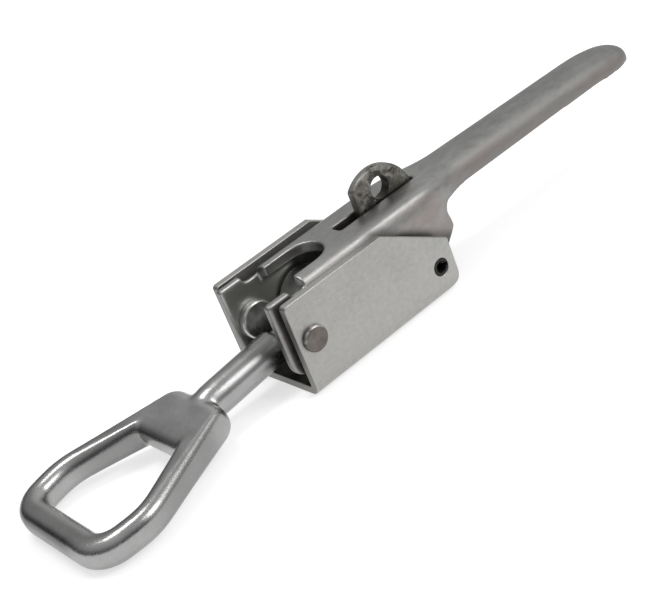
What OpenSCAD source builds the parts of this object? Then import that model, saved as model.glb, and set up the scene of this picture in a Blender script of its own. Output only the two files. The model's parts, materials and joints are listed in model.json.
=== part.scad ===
// Over-centre lever clamp with an eye bolt and a lock lug.
// X runs along the pull, from the eye towards the grip, Y across the channel, Z up.
// The origin is the centre of the base channel's underside. All sizes are in millimetres.

/* [Base channel] */
// Length of the base channel along the pull
base_len = 89; // [80:1:96]
// Outside width of the base channel
base_w = 53; // [50:1:64]
// Height of the base channel's walls
wall_h = 45; // [43:1:48]
// Sheet thickness of the base channel
base_t = 4; // [3:0.5:4.5]
// Outside radius of the base channel's two folds
base_fold_r = 5; // [4.5:0.5:7]
// Length of the level stretch of the walls' top edge
wall_level = 56; // [50:1:60]
// Height of the walls at their rear edge
wall_rear_h = 24.5; // [22:0.5:30]
// Radius of the walls' upper front corner
wall_front_r = 2; // [1:0.5:5]
// Radius of the walls' lower rear corner
wall_corner_r = 8; // [4:1:9]

/* [Handle] */
// Sheet thickness of the handle
handle_t = 5.5; // [4:0.5:6]
// Gap between a base wall and the handle cheek beside it
side_gap = 1; // [0.5:0.25:2]
// Height of the handle's top above the base's underside
handle_top = 46.2; // [46:0.2:48]
// Outside radius of the bends between the handle's top and its cheeks
handle_bend_r = 10.5; // [8:0.5:11]
// How far the cheeks stand out in front of the base channel
cheek_front = 2; // [0.5:0.5:3]
// Height of the cheeks' lower edge
cheek_low = 7.5; // [6:0.5:9]
// Radius of the cheeks' lower front corner
cheek_corner_r = 8; // [4:1:9]
// Height of the cheeks' top edge in front of the top plate
cheek_lip = 44; // [42.6:0.2:45]
// Distance of the lip's end behind the base's front
lip_reach = 10.8; // [9:0.2:12]
// Height of the dip between the lip and the top plate
dip_z = 42; // [41:0.2:42.4]
// How far the cheeks reach out behind the base channel
cheek_overhang = 11; // [7:0.5:12]
// Forward lean of the cheeks' rear edge from the corner up to the grip
cheek_lean = 2; // [0:0.5:3]
// Height at which the sloped corner meets the cheeks' rear edge
cheek_rear_low = 22; // [20:1:25]
// Distance of the top plate's front edge behind the base's front
plate_front = 18.5; // [15:0.5:21]
// Width of the notch that the rod swings through
notch_w = 21; // [19:0.5:23]
// Distance of the notch's closed end behind the base's front
notch_end = 42.5; // [40:0.5:46]
// Radius of the hollow corner between the cheeks' rear edge and the grip
neck_fillet_r = 7; // [3:1:9]
// Length over which the neck narrows from cheeks to grip
neck_len = 34; // [28:1:40]
// Width of the grip
grip_w = 25; // [22:1:30]
// Drop of the grip's ridge from the neck to the tip's start
grip_drop = 2.6; // [1:0.2:6]
// Height of the grip's lower edge at the neck
grip_low = 33.6; // [32:0.2:35]
// Fall of the grip's lower edge from the neck to the tip's start
grip_low_drop = 0.8; // [0:0.2:3]
// Distance of the handle's tip behind the base's front
tip_reach = 241; // [225:1:260]
// Length of the rounded tip
tip_len = 30; // [18:1:34]
// Fall of the lower edge over the tip's length
tip_droop = 2.4; // [0:0.2:4]
// Height of the end face of the tip
tip_h = 4; // [3:0.5:8]

/* [Pivot] */
// Distance of the handle's pivot axis behind the base's front
pivot_x = 8.4; // [7:0.2:11]
// Height of the handle's pivot axis
pivot_z = 25; // [24:0.5:27]
// Diameter of the pivot pins' shank
pivot_d = 10; // [8:0.5:11]
// Diameter of the pivot pins' outer head
pivot_head_d = 12; // [11.5:0.5:15]
// Height of the pivot pins' outer head
pivot_head_h = 2.3; // [1.5:0.1:3]
// Diameter of the pivot pins' inner head
inner_head_d = 17.6; // [15:0.2:18]
// Thickness of the pivot pins' inner head
inner_head_t = 3.7; // [2.5:0.1:5]

/* [Eye bolt] */
// Diameter of the eye bolt's rod
rod_d = 16; // [14:0.5:17]
// Diameter of the rod's threaded end
shank_d = 12; // [10:1:12]
// Slope of the rod, falling towards the eye, in degrees
rod_slope = 4.95; // [4:0.05:5]
// Distance of the trunnion's axis behind the pivot axis
trunnion_dx = 26.9; // [26.3:0.1:27.5]
// Drop of the trunnion's axis below the pivot axis
trunnion_dz = 4.7; // [4.2:0.1:5.2]
// Diameter of the trunnion's barrel
trunnion_d = 29.4; // [26:0.2:30]
// Diameter of the trunnion's journals in the cheeks
journal_d = 12; // [10:0.5:13]
// Length from the trunnion's axis to the rod's shoulder
shoulder_x = 31.5; // [30:0.5:34]
// Length from the trunnion's axis to the eye's neck
neck_x = 72.3; // [66:0.1:79]
// Length from the trunnion's axis to the near end of the eye's opening
opening_x = 99.5; // [95:0.1:104]
// Length of the eye's opening
opening_len = 46.3; // [42:0.1:52]
// Width of the eye's opening at its wide end
opening_w = 54.4; // [48:0.2:58]
// Width of the eye's opening at its narrow end
opening_narrow_w = 32.2; // [26:0.2:36]
// Width of the forged bar round the opening
bar_w = 12.9; // [11:0.1:14]
// Height of the forged bar
bar_h = 14; // [13:0.5:15]
// Width of the eye's neck at its shoulders
eye_neck_w = 34.4; // [32:0.2:42]

/* [Lock lug] */
// Distance of the lug's pin from the base channel's rear edge
lug_pin_inset = 8.3; // [7:0.1:10]
// Height of the lug's pin
lug_pin_z = 14; // [13.5:0.2:15]
// Diameter of the slotted spring pin
lug_pin_d = 8; // [6:0.5:8.5]
// Wall of the slotted spring pin
lug_pin_wall = 1.4; // [1:0.1:1.8]
// Width of the spring pin's slot
lug_pin_slot = 1.6; // [1:0.1:2]
// Outside diameter of the sleeve on the pin
sleeve_d = 12; // [11:0.5:12.5]
// Thickness of the lug
lug_t = 5; // [4:0.5:6]
// Radius of the lug's round head
lug_r = 18.5; // [17:0.1:19]
// Height of the centre of the lug's round head
lug_head_z = 43.2; // [42:0.2:45]
// Distance of the centre of the lug's round head ahead of its pin
lug_head_dx = 1.1; // [0:0.1:2]
// Distance of the lug's straight front edge ahead of its pin
lug_front = 14.3; // [12:0.1:16]
// Diameter of the lug's hole
lug_hole_d = 10.4; // [8:0.2:10.4]
// Height of the lug's hole
lug_hole_z = 51.5; // [51.5:0.1:52.5]
// Length of the slot in the handle ahead of the lug's pin
slot_ahead = 27.4; // [25:0.2:30]
// Length of the slot in the handle behind the lug's pin
slot_behind = 19.8; // [19.4:0.1:20.4]
// Gap on each side of the lug in the handle's slot
slot_gap = 1; // [0.5:0.25:1.5]

/* [Hidden] */
$fn = 64;

// Clearances
run_clear = 0.05;
seat_clear = 0.02;
axial_gap = 0.3;
inner_gap = 1.5;
hook_clear = 0.8;
floor_gap = 0.7;
through = 200;
skin = 0.5;
sliver = 0.1;

// Edge breaks
edge = 0.8;
least_r = 0.4;

// Places along the part
front = -base_len / 2;
pivot = [front + pivot_x, 0, pivot_z];
trunnion_at = pivot + [trunnion_dx, 0, -trunnion_dz];
lug_at = [base_len / 2 - lug_pin_inset, 0, lug_pin_z];

// Places across the part, from the middle outwards
wall_in = base_w / 2 - base_t;
cheek_out = wall_in - side_gap;
cheek_in = cheek_out - handle_t;
inner_head_out = cheek_in - axial_gap;
inner_head_in = inner_head_out - inner_head_t;

// The handle's stretches along X
handle_start = front - cheek_front;
lip_start = front + lip_reach;
lip_run = 2;
neck_overlap = 13;
cheek_end = base_len / 2 + cheek_overhang;
neck_start = cheek_end - neck_overlap;
neck_end = neck_start + neck_len;
tip_end = front + tip_reach;
tip_start = tip_end - tip_len;
tip_share = 0.94;
lip_steps = 3;
neck_steps = 16;
tip_steps = 12;
hollow_tip_steps = 7;
arc_steps = 10;

// Blend from 0 to 1 with level ends
function smooth(u) = u * u * (3 - 2 * u);
function clamp01(u) = max(0, min(1, u));

// Outside half-width, top and corner radius of the handle at a place along X
function tip_u(x) = clamp01((x - tip_start) / tip_len);
function tip_round(x) = sqrt(1 - pow(tip_share * tip_u(x), 2));
function neck_u(x) = smooth(clamp01((x - neck_start) / neck_len));
function grip_u(x) = clamp01((x - neck_end) / (tip_start - neck_end));
function half_w(x) = (cheek_out + (grip_w / 2 - cheek_out) * neck_u(x)) * tip_round(x);
function lip_u(x) = smooth(clamp01((x - lip_start) / lip_run));
function tip_low(x) = grip_low - grip_low_drop * grip_u(x) - tip_droop * tip_u(x);
function top_z(x) = let (ridge = cheek_lip + (handle_top - cheek_lip) * lip_u(x) - grip_drop * grip_u(x))
    tip_low(x) + tip_h + (ridge - tip_low(x) - tip_h) * tip_round(x);
function bend_r(x) = min(
    edge + (handle_bend_r - edge) * lip_u(x),
    half_w(x) - edge,
    top_z(x) - tip_low(x) - edge
);

// One cross-section of the handle, set in from its outside by a distance
function handle_ring(x, inset, low) =
    let (w = half_w(x) - inset, z = top_z(x) - inset, r = max(least_r, bend_r(x) - inset))
    concat(
        [[x, -w, low], [x, w, low]],
        [for (i = [0:arc_steps]) let (a = 90 * i / arc_steps) [x, w - r + r * cos(a), z - r + r * sin(a)]],
        [for (i = [0:arc_steps]) let (a = 90 + 90 * i / arc_steps) [x, -w + r + r * cos(a), z - r + r * sin(a)]]
    );

// Solid through a list of rings that have equally many points
module loft(rings) {
    n = len(rings[0]);
    m = len(rings);
    polyhedron(
        points = [for (ring = rings) each ring],
        faces = concat(
            [[for (j = [0:n - 1]) j]],
            [for (i = [0:m - 2], j = [0:n - 1])
                [i * n + j, (i + 1) * n + j, (i + 1) * n + (j + 1) % n, i * n + (j + 1) % n]],
            [[for (j = [n - 1:-1:0]) (m - 1) * n + j]]
        ),
        convexity = 6
    );
}

// Turns a drawing in X and Z into a slab across Y
module across(width) {
    rotate([90, 0, 0])
        linear_extrude(width, center = true)
            children();
}

// Round bar or bore along Y through a place
module cross_bar(at, d, width) {
    translate(at)
        rotate([90, 0, 0])
            cylinder(d = d, h = width, center = true);
}

// Outline of a tray with two round lower corners
module tray(w, h, r) {
    translate([-w / 2, r])
        square([w, h - r]);
    translate([-w / 2 + r, 0])
        square([w - 2 * r, h]);
    for (side = [-1, 1])
        translate([side * (w / 2 - r), r])
            circle(r);
}

// Slot with two round ends along X, seen from above
module slot_outline(x0, x1, w) {
    translate([x0 + w / 2, -w / 2])
        square([x1 - x0 - w, w]);
    for (x = [x0 + w / 2, x1 - w / 2])
        translate([x, 0])
            circle(d = w);
}

// Folded channel that carries both pins
module base_channel() {
    inner_r = max(least_r, base_fold_r - base_t);
    color([0.69, 0.69, 0.67])
    difference() {
        intersection() {
            translate([front, 0, 0])
                rotate([90, 0, 90])
                    linear_extrude(base_len)
                        difference() {
                            tray(base_w, wall_h, base_fold_r);
                            translate([0, base_t])
                                tray(2 * wall_in, wall_h, inner_r);
                        }
            across(2 * base_w)
                translate([front, 0])
                    wall_side();
        }
        cross_bar(pivot, pivot_d + 2 * seat_clear, 2 * base_w);
        cross_bar(lug_at, lug_pin_d + 2 * seat_clear, 2 * base_w);
    }
}

// Side view of a base wall, from the base's front
module wall_side() {
    difference() {
        polygon([[0, 0], [base_len, 0], [base_len, wall_rear_h], [wall_level, wall_h], [0, wall_h]]);
        translate([0, wall_h - wall_front_r])
            difference() {
                square(wall_front_r);
                translate([wall_front_r, 0])
                    circle(wall_front_r);
            }
        translate([base_len - wall_corner_r, 0])
            difference() {
                square(wall_corner_r);
                translate([0, wall_corner_r])
                    circle(wall_corner_r);
            }
    }
}

// Pressed lever: cheeks, top plate, neck and half-round grip
module handle_lever() {
    slot_w = lug_t + 2 * slot_gap;
    xs = concat(
        [handle_start],
        [for (i = [0:lip_steps]) lip_start + lip_run * i / lip_steps],
        [for (i = [0:neck_steps]) neck_start + neck_len * i / neck_steps],
        [for (i = [0:tip_steps]) tip_start + tip_len * sin(90 * i / tip_steps)]
    );
    hollow_xs = concat(
        [handle_start - skin],
        [for (i = [0:lip_steps]) lip_start + lip_run * i / lip_steps],
        [for (i = [0:neck_steps]) neck_start + neck_len * i / neck_steps],
        [for (i = [0:hollow_tip_steps]) tip_start + tip_len * sin(90 * i / tip_steps)]
    );
    color([0.62, 0.61, 0.59])
    difference() {
        intersection() {
            loft([for (x = xs) handle_ring(x, 0, 0)]);
            across(2 * base_w)
                handle_side();
        }
        loft([for (x = hollow_xs) handle_ring(x, handle_t, -skin)]);
        notch_cut();
        translate([lug_at.x - slot_ahead, -slot_w / 2, handle_top - handle_bend_r])
            cube([slot_ahead + slot_behind, slot_w, handle_bend_r + skin]);
        cross_bar(pivot, pivot_d + 2 * run_clear, 2 * base_w);
        cross_bar(trunnion_at, journal_d + 2 * run_clear, 2 * base_w);
    }
}

// Opening in the top plate for the rod, the plate's cut-back front and the dip behind the lip
module notch_cut() {
    translate([0, 0, handle_top - handle_bend_r - handle_t])
        linear_extrude(through)
            slot_outline(front - through, front + notch_end, notch_w);
    translate([front - through, -cheek_in, cheek_low])
        cube([through + plate_front, 2 * cheek_in, through]);
    translate([lip_start, -base_w / 2, dip_z])
        cube([plate_front - lip_reach, base_w, through]);
}

// Side view of the handle below its top: cheeks, sloped rear corner and the grip's lower edge
module handle_side() {
    slope_run = cheek_rear_low - cheek_low;
    rear = cheek_end;
    rear_top = rear - cheek_lean;
    difference() {
        union() {
            polygon([
                [handle_start, cheek_low], [rear, cheek_low], [rear, cheek_rear_low],
                [rear_top, grip_low], [rear_top, through], [handle_start, through]
            ]);
            polygon([
                [rear_top - skin, through], [rear_top - skin, grip_low], [neck_end, grip_low],
                [tip_start, tip_low(tip_start)], [tip_end, tip_low(tip_end)], [tip_end, through]
            ]);
        }
        translate([handle_start, cheek_low])
            difference() {
                square(cheek_corner_r);
                translate([cheek_corner_r, cheek_corner_r])
                    circle(cheek_corner_r);
            }
        polygon([
            [rear - slope_run - skin, cheek_low - skin], [rear + skin, cheek_low - skin],
            [rear + skin, cheek_rear_low + skin]
        ]);
        pin_hook();
    }
    translate([rear_top - skin, grip_low - neck_fillet_r])
        difference() {
            square([neck_fillet_r + skin, neck_fillet_r + skin]);
            translate([neck_fillet_r + skin, 0])
                circle(neck_fillet_r);
        }
}

// Open-ended slot in the cheeks that leaves the lug's pin as the handle lifts
module pin_hook() {
    r = lug_pin_d / 2 + hook_clear;
    lean = atan2(pivot.z - lug_at.z, lug_at.x - pivot.x);
    translate([lug_at.x, lug_at.z])
        rotate(-lean) {
            circle(r);
            translate([-r, -lug_at.z])
                square([2 * r, lug_at.z]);
        }
}

// Shouldered rivet: outer head, shank and wide inner head, turned about its axis
module pivot_pin(side) {
    head_face = base_w / 2 + pivot_head_h;
    color([0.56, 0.53, 0.52])
    translate(pivot)
        rotate([-90 * side, 0, 0])
            rotate_extrude()
                polygon([
                    [0, inner_head_in], [inner_head_d / 2 - edge, inner_head_in],
                    [inner_head_d / 2, inner_head_in + edge], [inner_head_d / 2, inner_head_out],
                    [pivot_d / 2, inner_head_out], [pivot_d / 2, base_w / 2],
                    [pivot_head_d / 2, base_w / 2], [pivot_head_d / 2, head_face - edge],
                    [pivot_head_d / 2 - edge, head_face], [0, head_face]
                ]);
}

// Puts a piece in the eye bolt's own frame: X along the rod, from the trunnion's axis
module on_rod() {
    translate(trunnion_at)
        rotate([0, -rod_slope, 0])
            children();
}

// Bar or bore along the rod
module along_rod(x0, x1, d) {
    translate([x0, 0, 0])
        rotate([0, 90, 0])
            cylinder(d = d, h = x1 - x0);
}

// Cross bar in the cheeks, with a hole for the rod's threaded end
module trunnion() {
    color([0.50, 0.50, 0.49])
    on_rod()
        difference() {
            union() {
                cross_bar([0, 0, 0], trunnion_d, 2 * (cheek_in - inner_gap));
                cross_bar([0, 0, 0], journal_d, 2 * cheek_out);
            }
            along_rod(-trunnion_d, trunnion_d, shank_d + 2 * seat_clear);
        }
}

// Corner radii of the eye's opening and of its outside, from the neck to the far bar
opening_near_r = 3;
opening_side_r = 22;
opening_far_r = 6.5;
shoulder_r = 5;
outside_side_r = 32;
outside_far_r = 17.5;

// Corner points of half of the eye's opening and of its outside, each with a corner radius
opening_end = opening_x + opening_len;
widest_back = 16.5;
widest_x = opening_end - widest_back;
opening_bulge = 1.1;
outside_draw = 4.8;
opening_half = [
    [-opening_x, opening_narrow_w / 2, opening_near_r],
    [-widest_x, opening_w / 2 + opening_bulge, opening_side_r],
    [-opening_end, opening_w / 2 - opening_bulge, opening_far_r]
];
outside_half = [
    [-neck_x, eye_neck_w / 2, shoulder_r],
    [-widest_x, opening_w / 2 + bar_w, outside_side_r],
    [-opening_end - bar_w, opening_w / 2 + bar_w - outside_draw, outside_far_r]
];

// Round corner at b between the edges towards a and c, as arc points
function unit(v) = v / norm(v);
function corner(a, b, c) =
    let (
        u = unit([a.x - b.x, a.y - b.y]),
        v = unit([c.x - b.x, c.y - b.y]),
        half_turn = acos(u * v) / 2,
        mid = unit(u + v),
        centre = [b.x, b.y] + mid * b.z / sin(half_turn),
        sweep = 90 - half_turn,
        turn = (u.x * v.y - u.y * v.x) > 0 ? -1 : 1
    )
    [for (i = [0:corner_steps])
        let (a1 = turn * sweep * (2 * i / corner_steps - 1), d = -mid * b.z)
        centre + [d.x * cos(a1) - d.y * sin(a1), d.x * sin(a1) + d.y * cos(a1)]];
corner_steps = 7;
function mirrored(p) = [p.x, -p.y, p.z];

// Whole outline through the corners of one half and of its mirror image
function outline(half) =
    let (all = concat(half, [for (i = [len(half) - 1:-1:0]) mirrored(half[i])]), n = len(all))
    [for (i = [0:n - 1]) each corner(all[(i + n - 1) % n], all[i], all[(i + 1) % n])];

// Cross-section of the forged bar between an inside and an outside point
section_steps = 5;
section_r = 5.5;
function bar_ring(p, q) =
    let (
        w = norm(q - p),
        d = unit(q - p),
        r = min(section_r, w / 2 - sliver, bar_h / 2 - sliver),
        corners = [[w - r, bar_h / 2 - r, 0], [r, bar_h / 2 - r, 90],
            [r, -bar_h / 2 + r, 180], [w - r, -bar_h / 2 + r, 270]]
    )
    [for (c = corners, i = [0:section_steps])
        let (
            a = c.z + 90 * i / section_steps,
            s = c.x + r * cos(a),
            z = c.y + r * sin(a)
        )
        [p.x + d.x * s, p.y + d.y * s, z]];

// Closed ring of cross-sections
module ring_loft(rings) {
    n = len(rings[0]);
    m = len(rings);
    polyhedron(
        points = [for (ring = rings) each ring],
        faces = [for (i = [0:m - 1], j = [0:n - 1])
            [i * n + j, i * n + (j + 1) % n, ((i + 1) % m) * n + (j + 1) % n, ((i + 1) % m) * n + j]],
        convexity = 8
    );
}

// Forged eye with its rod and threaded end
thread_past = 2;
neck_blend = 16;
neck_sink = 1.5;
neck_step = 2;
module eye_bolt() {
    inside = outline(opening_half);
    outside = outline(outside_half);
    tail = trunnion_d / 2 + thread_past;
    blend_r = bar_h / 2 - neck_sink;
    color([0.66, 0.66, 0.65])
    on_rod() {
        ring_loft([for (i = [0:len(inside) - 1]) bar_ring(inside[i], outside[i])]);
        rotate([0, 90, 0])
            rotate_extrude()
                polygon([
                    [0, -neck_x - neck_blend], [blend_r, -neck_x - neck_blend], [rod_d / 2, -neck_x + neck_step],
                    [rod_d / 2, -shoulder_x - edge], [rod_d / 2 - edge, -shoulder_x],
                    [shank_d / 2, -shoulder_x], [shank_d / 2, tail - edge], [shank_d / 2 - edge, tail], [0, tail]
                ]);
    }
}

// Upright lug on the sleeve, with a round head and a hole for a lock
module lock_lug() {
    hub_r = lug_at.z - base_t - floor_gap;
    neck_z = lug_head_z - lug_r / 2;
    head_at = [lug_at.x - lug_head_dx, 0, lug_head_z];
    rear = lug_r - lug_head_dx - edge;
    color([0.46, 0.45, 0.43])
    difference() {
        union() {
            intersection() {
                cross_bar(head_at, 2 * lug_r, lug_t);
                translate([lug_at.x - lug_front, -lug_t, 0])
                    cube([through, 2 * lug_t, through]);
            }
            across(lug_t)
                translate([lug_at.x, 0])
                    polygon([
                        [-lug_front, lug_head_z], [rear, lug_head_z], [rear, neck_z],
                        [hub_r - edge, lug_at.z], [edge - hub_r, lug_at.z], [-lug_front, neck_z]
                    ]);
            cross_bar(lug_at, 2 * hub_r, lug_t);
        }
        cross_bar([lug_at.x, 0, lug_hole_z], lug_hole_d, 2 * lug_t);
        cross_bar(lug_at, sleeve_d + 2 * seat_clear, 2 * lug_t);
    }
}

// Sleeve that turns on the spring pin and carries the lug
module lug_sleeve() {
    color([0.42, 0.42, 0.41])
    difference() {
        cross_bar(lug_at, sleeve_d, 2 * (cheek_in - inner_gap));
        cross_bar(lug_at, lug_pin_d + 2 * run_clear, 2 * base_w);
    }
}

// Slotted spring pin through both base walls
module lug_pin() {
    color([0.12, 0.12, 0.12])
    difference() {
        cross_bar(lug_at, lug_pin_d, base_w);
        cross_bar(lug_at, lug_pin_d - 2 * lug_pin_wall, 2 * base_w);
        translate(lug_at + [0, -base_w, -lug_pin_slot / 2])
            cube([lug_pin_d, 2 * base_w, lug_pin_slot]);
    }
}

base_channel();
handle_lever();
pivot_pin(-1);  // pivot_pin_near
pivot_pin(1);  // pivot_pin_far
trunnion();
eye_bolt();
lock_lug();
lug_sleeve();
lug_pin();
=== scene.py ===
import json
import bpy
import bmesh
from mathutils import Matrix, Vector


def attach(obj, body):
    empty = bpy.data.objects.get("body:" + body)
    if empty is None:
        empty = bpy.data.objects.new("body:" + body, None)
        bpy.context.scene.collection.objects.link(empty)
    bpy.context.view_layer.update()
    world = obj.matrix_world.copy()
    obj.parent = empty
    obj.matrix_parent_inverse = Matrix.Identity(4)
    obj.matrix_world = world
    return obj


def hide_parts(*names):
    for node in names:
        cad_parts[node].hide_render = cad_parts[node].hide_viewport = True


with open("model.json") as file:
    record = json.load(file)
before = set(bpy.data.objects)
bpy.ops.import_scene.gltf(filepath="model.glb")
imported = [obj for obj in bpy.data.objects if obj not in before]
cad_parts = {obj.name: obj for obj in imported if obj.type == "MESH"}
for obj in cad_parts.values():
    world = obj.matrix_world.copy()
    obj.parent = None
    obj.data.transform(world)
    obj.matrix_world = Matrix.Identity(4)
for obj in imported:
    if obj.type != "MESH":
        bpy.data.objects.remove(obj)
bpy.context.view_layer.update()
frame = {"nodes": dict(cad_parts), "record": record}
scene = bpy.context.scene
MM = 0.001


# Camera at the photograph's view, from a fit to the base channel's edges
PHOTO_WIDTH_PX = 665.0
FOCAL_LENGTH_PX = 1508.83
SENSOR_WIDTH = 36.0
CLIP_START = 0.01
CAMERA_PLACE = Vector((-298.458, -509.371, 327.240)) * MM
CAMERA_RIGHT = Vector((0.71562, -0.61337, -0.33415))
CAMERA_DOWN = Vector((-0.54436, -0.18999, -0.81705))
CAMERA_FORWARD = Vector((0.43768, 0.76660, -0.46985))


def photo_camera():
    data = bpy.data.cameras.new("camera")
    data.sensor_fit = "HORIZONTAL"
    data.sensor_width = SENSOR_WIDTH
    data.lens = FOCAL_LENGTH_PX * SENSOR_WIDTH / PHOTO_WIDTH_PX
    data.clip_start = CLIP_START
    camera = bpy.data.objects.new("camera", data)
    scene.collection.objects.link(camera)
    turn = Matrix((CAMERA_RIGHT, -CAMERA_DOWN, -CAMERA_FORWARD)).transposed()
    camera.matrix_world = Matrix.Translation(CAMERA_PLACE) @ turn.to_4x4()
    scene.camera = camera


# Node helpers
AXES = {"X": (1.0, 0.0, 0.0), "Y": (0.0, 1.0, 0.0), "Z": (0.0, 0.0, 1.0)}


def add_node(tree, kind, **values):
    """A new node with the given properties."""
    made = tree.nodes.new(kind)
    for key, value in values.items():
        setattr(made, key, value)
    return made


def set_stops(ramp, stops):
    """Puts stops on a ramp node, each a position with a colour or a grey level."""
    elements = ramp.color_ramp.elements
    while len(elements) < len(stops):
        elements.new(0.5)
    for element, (position, colour) in zip(elements, stops):
        element.position = position
        if isinstance(colour, float):
            colour = (colour, colour, colour)
        element.color = (*colour, 1.0)


class Shader:
    """A node material that is laid out in millimetres of the object's own frame."""

    def __init__(self, name, metallic, roughness):
        self.material = bpy.data.materials.new(name)
        self.material.use_nodes = True
        self.tree = self.material.node_tree
        self.surface = self.tree.nodes["Principled BSDF"]
        self.surface.inputs["Metallic"].default_value = metallic
        self.surface.inputs["Roughness"].default_value = roughness
        coordinates = self.node("ShaderNodeTexCoord")
        self.place = coordinates.outputs["Object"]
        self.normal = coordinates.outputs["Normal"]

    def node(self, kind, **values):
        return add_node(self.tree, kind, **values)

    def put(self, socket, value):
        """Links a socket to another one, or sets it to a plain value."""
        if isinstance(value, bpy.types.NodeSocket):
            self.tree.links.new(value, socket)
        else:
            socket.default_value = value

    def noise(self, size, detail=4.0, rough=0.55, twist=0.0):
        """Noise whose cells are size millimetres along X, Y and Z."""
        mapping = self.node("ShaderNodeMapping")
        self.put(mapping.inputs["Vector"], self.place)
        mapping.inputs["Scale"].default_value = [1.0 / (MM * s) for s in size]
        made = self.node("ShaderNodeTexNoise")
        self.put(made.inputs["Vector"], mapping.outputs["Vector"])
        made.inputs["Scale"].default_value = 1.0
        made.inputs["Detail"].default_value = detail
        made.inputs["Roughness"].default_value = rough
        made.inputs["Distortion"].default_value = twist
        return made.outputs["Fac"]

    def ramp(self, fac, *stops):
        made = self.node("ShaderNodeValToRGB")
        set_stops(made, stops)
        self.put(made.inputs["Fac"], fac)
        return made.outputs["Color"]

    def mix(self, fac, a, b, blend="MIX"):
        made = self.node("ShaderNodeMix", data_type="RGBA", blend_type=blend)
        for socket, value in ((made.inputs[0], fac), (made.inputs[6], a), (made.inputs[7], b)):
            if isinstance(value, tuple):
                value = (*value, 1.0)
            self.put(socket, value)
        return made.outputs[2]

    def both(self, mask, *others):
        """Where all the masks hold at once."""
        for other in others:
            mask = self.mix(1.0, mask, other, "MULTIPLY")
        return mask

    def tint(self, tone, mask, most, colour):
        """A tone that turns into a colour under a mask, up to the share most."""
        return self.mix(self.ramp(mask, (0.0, 0.0), (1.0, most)), tone, colour)

    def rise(self, value, low, high):
        """0 where a value is low, 1 where it is high, with a smooth rise between."""
        made = self.node("ShaderNodeMapRange", interpolation_type="SMOOTHSTEP")
        made.inputs["From Min"].default_value = low
        made.inputs["From Max"].default_value = high
        self.put(made.inputs["Value"], value)
        return made.outputs["Result"]

    def along(self, axis, low, high):
        """0 at a place low along an axis or direction, 1 at a place high, in millimetres."""
        reach = self.node("ShaderNodeVectorMath", operation="DOT_PRODUCT")
        self.put(reach.inputs[0], self.place)
        reach.inputs[1].default_value = AXES.get(axis, axis)
        return self.rise(reach.outputs["Value"], low * MM, high * MM)

    def round_axis(self, centre, low, high):
        """0 at a distance low from the line along Y through a centre in XZ, 1 at high."""
        x, z = centre
        flat = self.node("ShaderNodeVectorMath", operation="MULTIPLY_ADD")
        self.put(flat.inputs[0], self.place)
        flat.inputs[1].default_value = (1.0, 0.0, 1.0)
        flat.inputs[2].default_value = (-x * MM, 0.0, -z * MM)
        length = self.node("ShaderNodeVectorMath", operation="LENGTH")
        self.put(length.inputs[0], flat.outputs["Vector"])
        return self.rise(length.outputs["Value"], low * MM, high * MM)

    def facing(self, axis, low, high):
        """0 where the surface's own normal has the component low along an axis, 1 at high."""
        apart = self.node("ShaderNodeSeparateXYZ")
        self.put(apart.inputs[0], self.normal)
        return self.rise(apart.outputs[axis], low, high)

    def colour(self, value):
        self.put(self.surface.inputs["Base Color"], value)

    def roughness(self, value):
        self.put(self.surface.inputs["Roughness"], value)

    def bump(self, height, depth, strength, below=None):
        """Bumps of a depth in millimetres on the surface, over another bump where one is given."""
        made = self.node("ShaderNodeBump")
        self.put(made.inputs["Strength"], strength)
        made.inputs["Distance"].default_value = depth * MM
        self.put(made.inputs["Height"], height)
        if below is not None:
            self.put(made.inputs["Normal"], below)
        self.put(self.surface.inputs["Normal"], made.outputs["Normal"])
        return made.outputs["Normal"]


# Metals, one for each material slot
LOCK_HOLE = (36.2, 51.5)  # centre of the lug's hole in XZ, in millimetres
WALL_SLOPE = (0.621, 0.0, 1.0)  # square to the walls' sloped rear top edge


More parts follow.
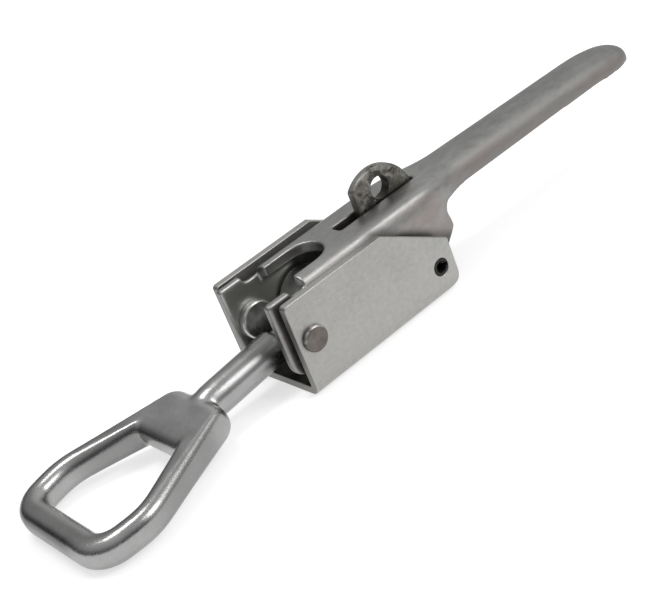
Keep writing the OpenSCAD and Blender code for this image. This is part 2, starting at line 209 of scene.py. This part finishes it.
def base_steel():
    s = Shader("base_sheet", 1.0, 0.42)
    clouds = s.noise((16, 16, 16), detail=5.0)
    blush = s.noise((26, 26, 14), detail=3.0)
    grain = s.noise((0.5, 0.4, 0.4), detail=3.0, rough=0.7)
    marks = s.noise((9, 1.0, 1.0), detail=4.0, rough=0.6)
    flecks = s.noise((2.6, 2.2, 2.2), detail=4.0, rough=0.65)
    wear = s.noise((6, 6, 6), detail=5.0)
    tone = s.ramp(clouds, (0.30, (0.312, 0.308, 0.292)), (0.70, (0.385, 0.379, 0.359)))
    tone = s.mix(s.ramp(blush, (0.50, 0.0), (0.74, 0.50)), tone, (0.345, 0.322, 0.306))
    tone = s.mix(0.07, tone, s.ramp(marks, (0.30, 0.28), (0.70, 0.52)))
    tone = s.mix(0.14, tone, s.ramp(grain, (0.30, 0.16), (0.70, 0.54)))
    # painted light: the walls are painted lighter towards the bottom, standing in for light reflected
    # up from the floor
    painted_floor_light = s.along("Z", 32.0, 0.0)
    tone = s.tint(tone, painted_floor_light, 0.65, (0.435, 0.430, 0.408))
    tone = s.mix(0.16, tone, s.ramp(flecks, (0.30, 0.22), (0.70, 0.56)))
    # painted shade: faces that turn towards -X are painted darker
    painted_shade_front_faces = s.facing("X", -0.55, -0.92)
    tone = s.tint(tone, painted_shade_front_faces, 0.62, (0.115, 0.112, 0.106))
    # painted shade: the channel's floor inside, low and facing up, is painted dark
    painted_shade_channel_floor = s.both(s.along("Z", 8.0, 5.0), s.facing("Z", 0.60, 0.90))
    tone = s.mix(painted_shade_channel_floor, tone, (0.075, 0.073, 0.069))
    # partly edge wear, partly painted highlight: rounded top edges that face -Y are painted lighter,
    # broken up by the wear noise
    edge = s.both(s.facing("Z", 0.20, 0.50), s.facing("Y", -0.20, -0.50),
                  s.ramp(wear, (0.36, 0.15), (0.62, 0.85)))
    s.colour(s.mix(edge, tone, (0.46, 0.455, 0.44)))
    s.roughness(s.ramp(s.mix(0.5, clouds, grain), (0.30, 0.36), (0.70, 0.50)))
    s.bump(grain, 0.05, 0.30, s.bump(marks, 0.04, 0.20))
    return s.material


def lever_steel():
    s = Shader("lever_sheet", 1.0, 0.40)
    clouds = s.noise((40, 12, 12), detail=5.0)
    streaks = s.noise((60, 1.2, 1.2), detail=5.0, rough=0.65)
    grain = s.noise((1.0, 0.45, 0.45), detail=3.0, rough=0.7)
    warm = s.noise((22, 8, 8), detail=3.0)
    mottle = s.noise((7, 3.2, 3.2), detail=5.0, rough=0.65)
    speckle = s.noise((6.0, 1.8, 1.8), detail=4.0, rough=0.65)
    tone = s.ramp(clouds, (0.28, (0.246, 0.248, 0.236)), (0.72, (0.321, 0.324, 0.312)))
    tone = s.mix(0.34, tone, s.ramp(mottle, (0.32, 0.13), (0.68, 0.46)))
    # painted shade and reflection of the lug: upward faces of the top plate around the slot are painted
    # darker
    painted_lug_shade = s.both(s.along("X", -24.0, 8.0), s.along("X", 62.0, 40.0), s.facing("Z", 0.86, 0.98))
    tone = s.tint(tone, painted_lug_shade, 0.68, (0.175, 0.172, 0.163))
    brushed = s.ramp(streaks, (0.28, (0.19, 0.187, 0.18)), (0.72, (0.39, 0.385, 0.372)))
    tone = s.mix(0.20, tone, brushed)
    tone = s.mix(0.10, tone, s.ramp(grain, (0.30, 0.14), (0.70, 0.44)))
    tone = s.mix(0.15, tone, s.ramp(speckle, (0.32, 0.13), (0.68, 0.44)))
    grip = s.along("X", 44.0, 84.0)
    dull = s.ramp(mottle, (0.32, (0.150, 0.150, 0.141)), (0.68, (0.225, 0.226, 0.216)))
    tone = s.tint(tone, grip, 0.60, dull)
    warm_flank = s.mix(s.facing("Y", -0.60, -0.95), tone, (0.256, 0.219, 0.206))
    tone = s.mix(s.ramp(warm, (0.38, 0.10), (0.68, 0.75)), tone, warm_flank)
    # painted light: inner faces towards +Y that face -Y, such as the far cheek's inner face, are
    # painted much lighter
    painted_light_inner_faces = s.both(s.along("Y", 8.0, 12.0), s.facing("Y", -0.50, -0.90))
    tone = s.mix(painted_light_inner_faces, tone, (0.52, 0.52, 0.50))
    # painted shadow: the lever's flank just above the base walls' sloped rear top edge is painted dark
    painted_wall_shadow = s.both(s.along(WALL_SLOPE, 57.0, 51.0), s.facing("Y", -0.55, -0.85),
                    s.along("X", 4.0, 16.0))
    tone = s.tint(tone, painted_wall_shadow, 0.75, (0.060, 0.055, 0.050))
    # painted shade: faces that turn towards -X are painted darker
    painted_shade_front_faces = s.facing("X", -0.60, -0.92)
    s.colour(s.tint(tone, painted_shade_front_faces, 0.40, (0.14, 0.137, 0.13)))
    front_sheen = s.ramp(s.mix(0.5, streaks, clouds), (0.30, 0.34), (0.70, 0.48))
    grip_sheen = s.ramp(mottle, (0.30, 0.48), (0.70, 0.62))
    s.roughness(s.mix(s.along("X", 45.0, 85.0), front_sheen, grip_sheen))
    s.bump(grain, 0.05, 0.35, s.bump(streaks, 0.06, 0.25, s.bump(mottle, 0.12, 0.25)))
    return s.material


def zinc_steel():
    s = Shader("zinc_forging", 1.0, 0.26)
    clouds = s.noise((11, 11, 11), detail=5.0)
    spangle = s.noise((0.7, 0.7, 0.7), detail=3.0, rough=0.7)
    pits = s.noise((3.2, 3.2, 3.2), detail=4.0, rough=0.6)
    tone = s.ramp(clouds, (0.30, (0.305, 0.306, 0.302)), (0.70, (0.375, 0.377, 0.373)))
    tone = s.mix(0.08, tone, s.ramp(spangle, (0.30, 0.15), (0.68, 0.65)))
    eye = s.along("X", -84.0, -100.0)
    # painted shade: the eye's arms are painted darker on faces that turn towards -Y
    painted_shade_eye_flank = s.both(eye, s.facing("Y", -0.20, -0.70), s.along("X", -146.0, -122.0))
    tone = s.tint(tone, painted_shade_eye_flank, 0.60, (0.185, 0.183, 0.182))
    # painted reflection: the outer faces of the eye's far end, towards -X, are painted very dark
    painted_dark_reflection_end = s.both(s.along("Y", -27.0, -10.0), s.facing("X", -0.30, -0.75),
                       s.along("X", -136.0, -146.0))
    tone = s.tint(tone, painted_dark_reflection_end, 0.85, (0.075, 0.073, 0.072))
    # painted shade: the eye's upward-facing flat tops are painted darker
    painted_shade_flat_top = s.both(s.along("X", -104.0, -116.0), s.facing("Z", 0.84, 0.97))
    tone = s.tint(tone, painted_shade_flat_top, 0.45, (0.235, 0.233, 0.230))
    # painted shade and reflection: the rod's upper faces are painted darker
    painted_shade_rod_top = s.both(s.along("X", -84.0, -40.0), s.facing("Z", 0.55, 0.80))
    s.colour(s.tint(tone, painted_shade_rod_top, 0.80, (0.125, 0.125, 0.121)))
    rod_sheen = s.ramp(clouds, (0.30, 0.25), (0.70, 0.33))
    eye_sheen = s.ramp(s.mix(0.5, clouds, spangle), (0.30, 0.18), (0.70, 0.32))
    s.roughness(s.mix(eye, rod_sheen, eye_sheen))
    pitted = s.bump(pits, 0.14, s.ramp(eye, (0.0, 0.12), (1.0, 0.35)))
    s.bump(spangle, 0.08, s.ramp(eye, (0.0, 0.22), (1.0, 0.40)), pitted)
    return s.material


def lug_steel():
    s = Shader("lug_plate", 1.0, 0.42)
    blotch = s.noise((3.4, 3.4, 3.4), detail=6.0, rough=0.68, twist=0.8)
    stain = s.noise((8, 8, 8), detail=4.0, rough=0.6)
    grain = s.noise((0.6, 0.6, 0.6), detail=3.0, rough=0.7)
    tone = s.ramp(blotch, (0.37, (0.045, 0.042, 0.037)), (0.49, (0.185, 0.178, 0.163)),
                  (0.70, (0.325, 0.317, 0.296)))
    tone = s.mix(s.ramp(stain, (0.46, 0.0), (0.62, 0.70)), tone, (0.105, 0.092, 0.078))
    ring = s.both(s.round_axis(LOCK_HOLE, 10.5, 6.0), s.ramp(blotch, (0.42, 0.85), (0.62, 0.10)))
    tone = s.mix(ring, tone, (0.060, 0.056, 0.050))
    # painted highlight: the lug's upper front rim, facing -X, is painted lighter
    painted_lug_rim_highlight = s.both(s.facing("Y", -0.97, -0.85), s.facing("X", -0.05, -0.30),
                    s.along("Z", 44.0, 48.0))
    tone = s.tint(tone, painted_lug_rim_highlight, 0.45, (0.36, 0.355, 0.34))
    # painted shade: the wall of the lug's hole is painted nearly black
    painted_shade_hole_wall = s.round_axis(LOCK_HOLE, 5.7, 5.35)
    s.colour(s.mix(painted_shade_hole_wall, tone, (0.040, 0.038, 0.035)))
    s.roughness(s.ramp(blotch, (0.30, 0.52), (0.70, 0.34)))
    s.bump(grain, 0.06, 0.35, s.bump(blotch, 0.20, 0.35))
    return s.material


def pin_steel():
    s = Shader("pivot_rivet", 1.0, 0.36)
    clouds = s.noise((4, 4, 4), detail=5.0, rough=0.6)
    grain = s.noise((0.4, 0.4, 0.4), detail=3.0, rough=0.7)
    outer = s.ramp(clouds, (0.30, (0.108, 0.094, 0.087)), (0.70, (0.165, 0.148, 0.138)))
    # partly its own greyer tone, partly painted light: the pins' ends inside the handle are painted
    # much lighter than their outer heads
    inner_tone_and_painted_light = s.ramp(clouds, (0.34, (0.34, 0.345, 0.33)), (0.66, (0.70, 0.705, 0.68)))
    within = s.both(s.along("Y", -19.0, -17.0), s.along("Y", 19.0, 17.0))
    # painted highlight: the upper rim of the pins' heads is painted lighter, broken up by the clouds
    painted_rivet_rim_highlight = s.both(s.facing("Y", -0.95, -0.80), s.facing("Z", 0.05, 0.35),
                 s.ramp(clouds, (0.40, 0.2), (0.60, 1.0)))
    s.colour(s.mix(within, s.mix(painted_rivet_rim_highlight, outer, (0.62, 0.60, 0.57)), inner_tone_and_painted_light))
    s.roughness(s.ramp(grain, (0.30, 0.26), (0.70, 0.42)))
    s.bump(clouds, 0.10, 0.30, s.bump(grain, 0.05, 0.35))
    return s.material


def inner_steel():
    s = Shader("inner_turning", 1.0, 0.38)
    clouds = s.noise((5, 5, 5), detail=5.0, rough=0.6)
    turned = s.noise((1.2, 0.5, 1.2), detail=3.0, rough=0.65)
    s.colour(s.ramp(clouds, (0.30, (0.30, 0.30, 0.285)), (0.70, (0.42, 0.42, 0.405))))
    s.roughness(s.ramp(turned, (0.30, 0.30), (0.70, 0.46)))
    s.bump(turned, 0.06, 0.35)
    return s.material


def black_steel():
    s = Shader("black_oxide", 0.6, 0.45)
    clouds = s.noise((2, 2, 2), detail=5.0, rough=0.6)
    s.colour(s.ramp(clouds, (0.30, (0.010, 0.010, 0.010)), (0.70, (0.030, 0.029, 0.028))))
    s.roughness(s.ramp(clouds, (0.30, 0.38), (0.70, 0.55)))
    s.bump(clouds, 0.05, 0.4)
    return s.material


MATERIALS = {
    "base_steel": base_steel(),
    "lever_steel": lever_steel(),
    "zinc_steel": zinc_steel(),
    "lug_steel": lug_steel(),
    "pin_steel": pin_steel(),
    "inner_steel": inner_steel(),
    "black_steel": black_steel(),
}
SLOT_OF = {row["node"]: row["material_slot"] for row in frame["record"]["subparts"]}
BODIES = frame["record"]["behaviour"]["bodies"]
BODY_OF = {node: body for body, nodes in BODIES.items() for node in nodes}


# Pieces made from the solids
WELD_DISTANCE = 2e-6
FLAT_ANGLE = 0.006  # faces that meet at less are joined
SHARP_ANGLE = 0.6  # edges that turn by more are rounded
FINER = 0.12  # share of a round's width where it is finer
SMOOTH_FACTOR = 0.5


def clean_copy(node):
    """A welded copy of a node's mesh with its flat faces joined."""
    mesh = frame["nodes"][node].data.copy()
    mesh.name = node + "_skin"
    bm = bmesh.new()
    bm.from_mesh(mesh)
    bmesh.ops.remove_doubles(bm, verts=bm.verts, dist=WELD_DISTANCE)
    bmesh.ops.dissolve_limit(bm, angle_limit=FLAT_ANGLE, verts=bm.verts, edges=bm.edges,
                             delimit=set())
    bmesh.ops.recalc_face_normals(bm, faces=bm.faces)
    bm.to_mesh(mesh)
    bm.free()
    if mesh.attributes.get("custom_normal"):
        mesh.attributes.remove(mesh.attributes["custom_normal"])
    return mesh


def apply_modifiers(piece):
    """Fixes a piece's modifiers into its mesh."""
    bpy.context.view_layer.update()
    depsgraph = bpy.context.evaluated_depsgraph_get()
    fixed = bpy.data.meshes.new_from_object(piece.evaluated_get(depsgraph))
    piece.modifiers.clear()
    piece.data = fixed


def skin_piece(node):
    """A new piece that stands for a node, before its edges are worked."""
    piece = bpy.data.objects.new(node + "_skin", clean_copy(node))
    scene.collection.objects.link(piece)
    return piece


def settle(piece, node):
    """Gives a piece its finish and its place on a body."""
    slot = SLOT_OF[node]
    piece.data.materials.clear()
    piece.data.materials.append(MATERIALS[slot])
    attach(piece, BODY_OF[node])
    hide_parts(node)


def broken_edges(node, width, segments=3, finer=None):
    """A copy of a node with rounds of a width on its sharp edges, narrower where finer holds."""
    piece = skin_piece(node)
    mesh = piece.data
    bm = bmesh.new()
    bm.from_mesh(mesh)
    weight = bm.edges.layers.float.new("bevel_weight_edge")
    for edge in bm.edges:
        if edge.is_manifold and edge.calc_face_angle() > SHARP_ANGLE:
            middle = (edge.verts[0].co + edge.verts[1].co) / 2
            edge[weight] = FINER if finer and finer(middle) else 1.0
    bm.to_mesh(mesh)
    bm.free()
    bevel = piece.modifiers.new("rounds", "BEVEL")
    bevel.width = width * MM
    bevel.segments = segments
    bevel.limit_method = "WEIGHT"
    bevel.use_clamp_overlap = False
    bevel.loop_slide = False
    even = piece.modifiers.new("even", "WEIGHTED_NORMAL")
    even.mode = "FACE_AREA"
    even.weight = 100
    even.keep_sharp = False
    mesh.shade_smooth()
    apply_modifiers(piece)
    settle(piece, node)


def share_of(low, high, value):
    """0 at low, 1 at high, straight between and level outside."""
    return min(1.0, max(0.0, (value - low) / (high - low)))


def ease(low, high, value):
    """0 at low, 1 at high, with a smooth rise between."""
    share = share_of(low, high, value)
    return share * share * (3.0 - 2.0 * share)


def soften(piece, name, passes, level=None):
    """Smooths a piece, as strongly as level says for a place along X in millimetres."""
    soft = piece.modifiers.new(name, "SMOOTH")
    soft.factor = SMOOTH_FACTOR
    soft.iterations = passes
    if level is not None:
        group = piece.vertex_groups.new(name=name)
        for vertex in piece.data.vertices:
            group.add([vertex.index], level(vertex.co.x / MM), "REPLACE")
        soft.vertex_group = name


def forged(node, voxel, passes, level, fillet_passes, fillet_level, shape=None):
    """A copy of a node as one body with softened corners, and softer still at its fillet."""
    piece = skin_piece(node)
    remesh = piece.modifiers.new("voxels", "REMESH")
    remesh.mode = "VOXEL"
    remesh.voxel_size = voxel * MM
    remesh.use_smooth_shade = True
    apply_modifiers(piece)
    if shape is not None:
        for vertex in piece.data.vertices:
            vertex.co = shape(vertex.co)
    soften(piece, "soft", passes, level)
    soften(piece, "fillet", fillet_passes, fillet_level)
    apply_modifiers(piece)
    piece.vertex_groups.clear()
    piece.data.shade_smooth()
    settle(piece, node)


# How the lever's visible shape differs from its solid, in millimetres or as a share
CHEEK_THINNER = 2.0
GRIP_WIDER = 0.04
TIP_START, TIP_END = 166.5, 196.5
LIP_FRONT, LIP_FOOT = -30.0, 42.0
LIP_TALLER = 1.8
LIP_SHORTER = 1.4
CHEEK_FORWARD = 0.8
CHEEK_BACKWARD = 1.6
SLOT_SHORTER = 1.4


def lever_shape(place):
    """Where a point of the lever's solid lies in its visible shape."""
    x, y, z = place / MM
    side = 1.0 if y > 0.0 else -1.0
    y = abs(y) - CHEEK_THINNER * ease(15.0, 21.5, abs(y))
    y = y * (1.0 + GRIP_WIDER * ease(62.0, 76.0, x))
    y = y * (1.0 + share_of(TIP_START, TIP_END, x) ** 2) ** 0.5
    if x < LIP_FRONT and z > LIP_FOOT:
        z = LIP_FOOT + LIP_TALLER * (z - LIP_FOOT)
        x = x - LIP_SHORTER * ease(-37.0, -34.0, x) * ease(LIP_FOOT, 43.2, z)
    x = x - CHEEK_FORWARD * ease(-40.0, -46.0, x)
    x = x + CHEEK_BACKWARD * ease(47.0, 54.0, x) * ease(68.0, 58.0, x) * ease(37.0, 29.0, z)
    slot_end = ease(52.0, 55.5, x) * ease(61.0, 57.0, x) * ease(5.5, 3.6, y) * ease(34.0, 36.0, z)
    x = x - SLOT_SHORTER * slot_end
    return Vector((x, side * y, z)) * MM


def lever_softness(x):
    """The lever is crisp in front and soft at the grip."""
    least = 0.3
    return least + (1.0 - least) * share_of(30.0, 60.0, x)


def round_place(middle, reach):
    """A level that is full at a place along X and fades out at a reach from it."""
    return lambda x: 1.0 - ease(0.3 * reach, reach, abs(x - middle))


def at_lock_hole(place):
    x, z = LOCK_HOLE
    return Vector((place.x / MM - x, place.z / MM - z)).length < 6.5


broken_edges("base_channel", 0.5)
forged("handle_lever", 0.75, 7, lever_softness, 25, round_place(194.0, 18.0), lever_shape)
forged("eye_bolt", 0.55, 14, None, 45, round_place(-81.2, 7.0))
broken_edges("lock_lug", 1.2, segments=4, finer=at_lock_hole)
for name in ("pivot_pin_near", "pivot_pin_far", "trunnion", "lug_sleeve"):
    broken_edges(name, 0.4)
broken_edges("lug_pin", 0.3)


# Floor, world and lamps
FLOOR_REACH = 6.0
FLOOR_DROP = 0.4 * MM
FLOOR_COLOUR = (0.58, 0.58, 0.58, 1.0)
FLOOR_LIFT = 0.60
WHITE = (1.0, 1.0, 1.0, 1.0)


def white_floor():
    """A pale floor that is lifted to white where it is seen or reflected, and keeps the shadow."""
    bm = bmesh.new()
    bmesh.ops.create_grid(bm, x_segments=1, y_segments=1, size=FLOOR_REACH)
    mesh = bpy.data.meshes.new("floor")
    bm.to_mesh(mesh)
    bm.free()
    floor = bpy.data.objects.new("floor", mesh)
    floor.location = (0.0, 0.0, -FLOOR_DROP)
    scene.collection.objects.link(floor)
    material = bpy.data.materials.new("floor_paper")
    material.use_nodes = True
    tree = material.node_tree
    surface = tree.nodes["Principled BSDF"]
    surface.inputs["Base Color"].default_value = FLOOR_COLOUR
    surface.inputs["Roughness"].default_value = 0.9
    surface.inputs["Specular IOR Level"].default_value = 0.0
    surface.inputs["Emission Color"].default_value = WHITE
    path = add_node(tree, "ShaderNodeLightPath")
    seen = path.outputs["Is Camera Ray"]
    for ray in ("Is Glossy Ray", "Is Transmission Ray"):
        either = add_node(tree, "ShaderNodeMath", operation="MAXIMUM")
        tree.links.new(seen, either.inputs[0])
        tree.links.new(path.outputs[ray], either.inputs[1])
        seen = either.outputs[0]
    lift = add_node(tree, "ShaderNodeMath", operation="MULTIPLY")
    tree.links.new(seen, lift.inputs[0])
    lift.inputs[1].default_value = FLOOR_LIFT
    tree.links.new(lift.outputs[0], surface.inputs["Emission Strength"])
    mesh.materials.append(material)


def studio_world():
    """A studio that is dim towards -X and bright towards +X."""
    world = bpy.data.worlds.new("studio")
    scene.world = world
    world.use_nodes = True
    tree = world.node_tree
    background = tree.nodes["Background"]
    place = add_node(tree, "ShaderNodeTexCoord")
    apart = add_node(tree, "ShaderNodeSeparateXYZ")
    tree.links.new(place.outputs["Generated"], apart.inputs[0])

    def fade(axis, *stops):
        """A grey level by the direction's component along an axis, with -1 to 1 as 0 to 1."""
        ramp = add_node(tree, "ShaderNodeValToRGB")
        set_stops(ramp, stops)
        half = add_node(tree, "ShaderNodeMath", operation="MULTIPLY_ADD")
        half.inputs[1].default_value = 0.5
        half.inputs[2].default_value = 0.5
        tree.links.new(apart.outputs[axis], half.inputs[0])
        tree.links.new(half.outputs[0], ramp.inputs["Fac"])
        return ramp.outputs["Color"]

    dim = fade("Z", (0.0, 0.30), (0.50, 0.10), (0.62, 0.16), (0.74, 0.36), (0.88, 0.62), (1.0, 0.75))
    bright = fade("Z", (0.0, 0.40), (0.50, 0.46), (0.60, 0.66), (0.72, 0.92), (0.88, 0.90), (1.0, 0.75))
    side = fade("X", (0.0, 0.0), (0.60, 0.04), (0.67, 0.55), (0.73, 0.92), (0.82, 1.0))
    blend = add_node(tree, "ShaderNodeMix", data_type="RGBA")
    tree.links.new(side, blend.inputs[0])
    tree.links.new(dim, blend.inputs[6])
    tree.links.new(bright, blend.inputs[7])
    tree.links.new(blend.outputs[2], background.inputs["Color"])
    background.inputs["Strength"].default_value = 1.0


def softbox(name, place, target, size, power):
    lamp = bpy.data.lights.new(name, "AREA")
    lamp.shape = "RECTANGLE"
    lamp.size, lamp.size_y = size
    lamp.energy = power
    holder = bpy.data.objects.new(name, lamp)
    holder.location = place
    aim = Vector(target) - Vector(place)
    holder.rotation_euler = aim.to_track_quat("-Z", "Y").to_euler()
    scene.collection.objects.link(holder)


photo_camera()
white_floor()
studio_world()
softbox("key", place=(0.47, -0.75, 0.85), target=(-0.02, 0.0, 0.0), size=(0.50, 0.60), power=4.8)
softbox("overhead", place=(-0.14, 0.29, 1.10), target=(-0.14, 0.0, 0.0), size=(0.42, 0.30), power=3.6)

scene.view_settings.view_transform = "Standard"
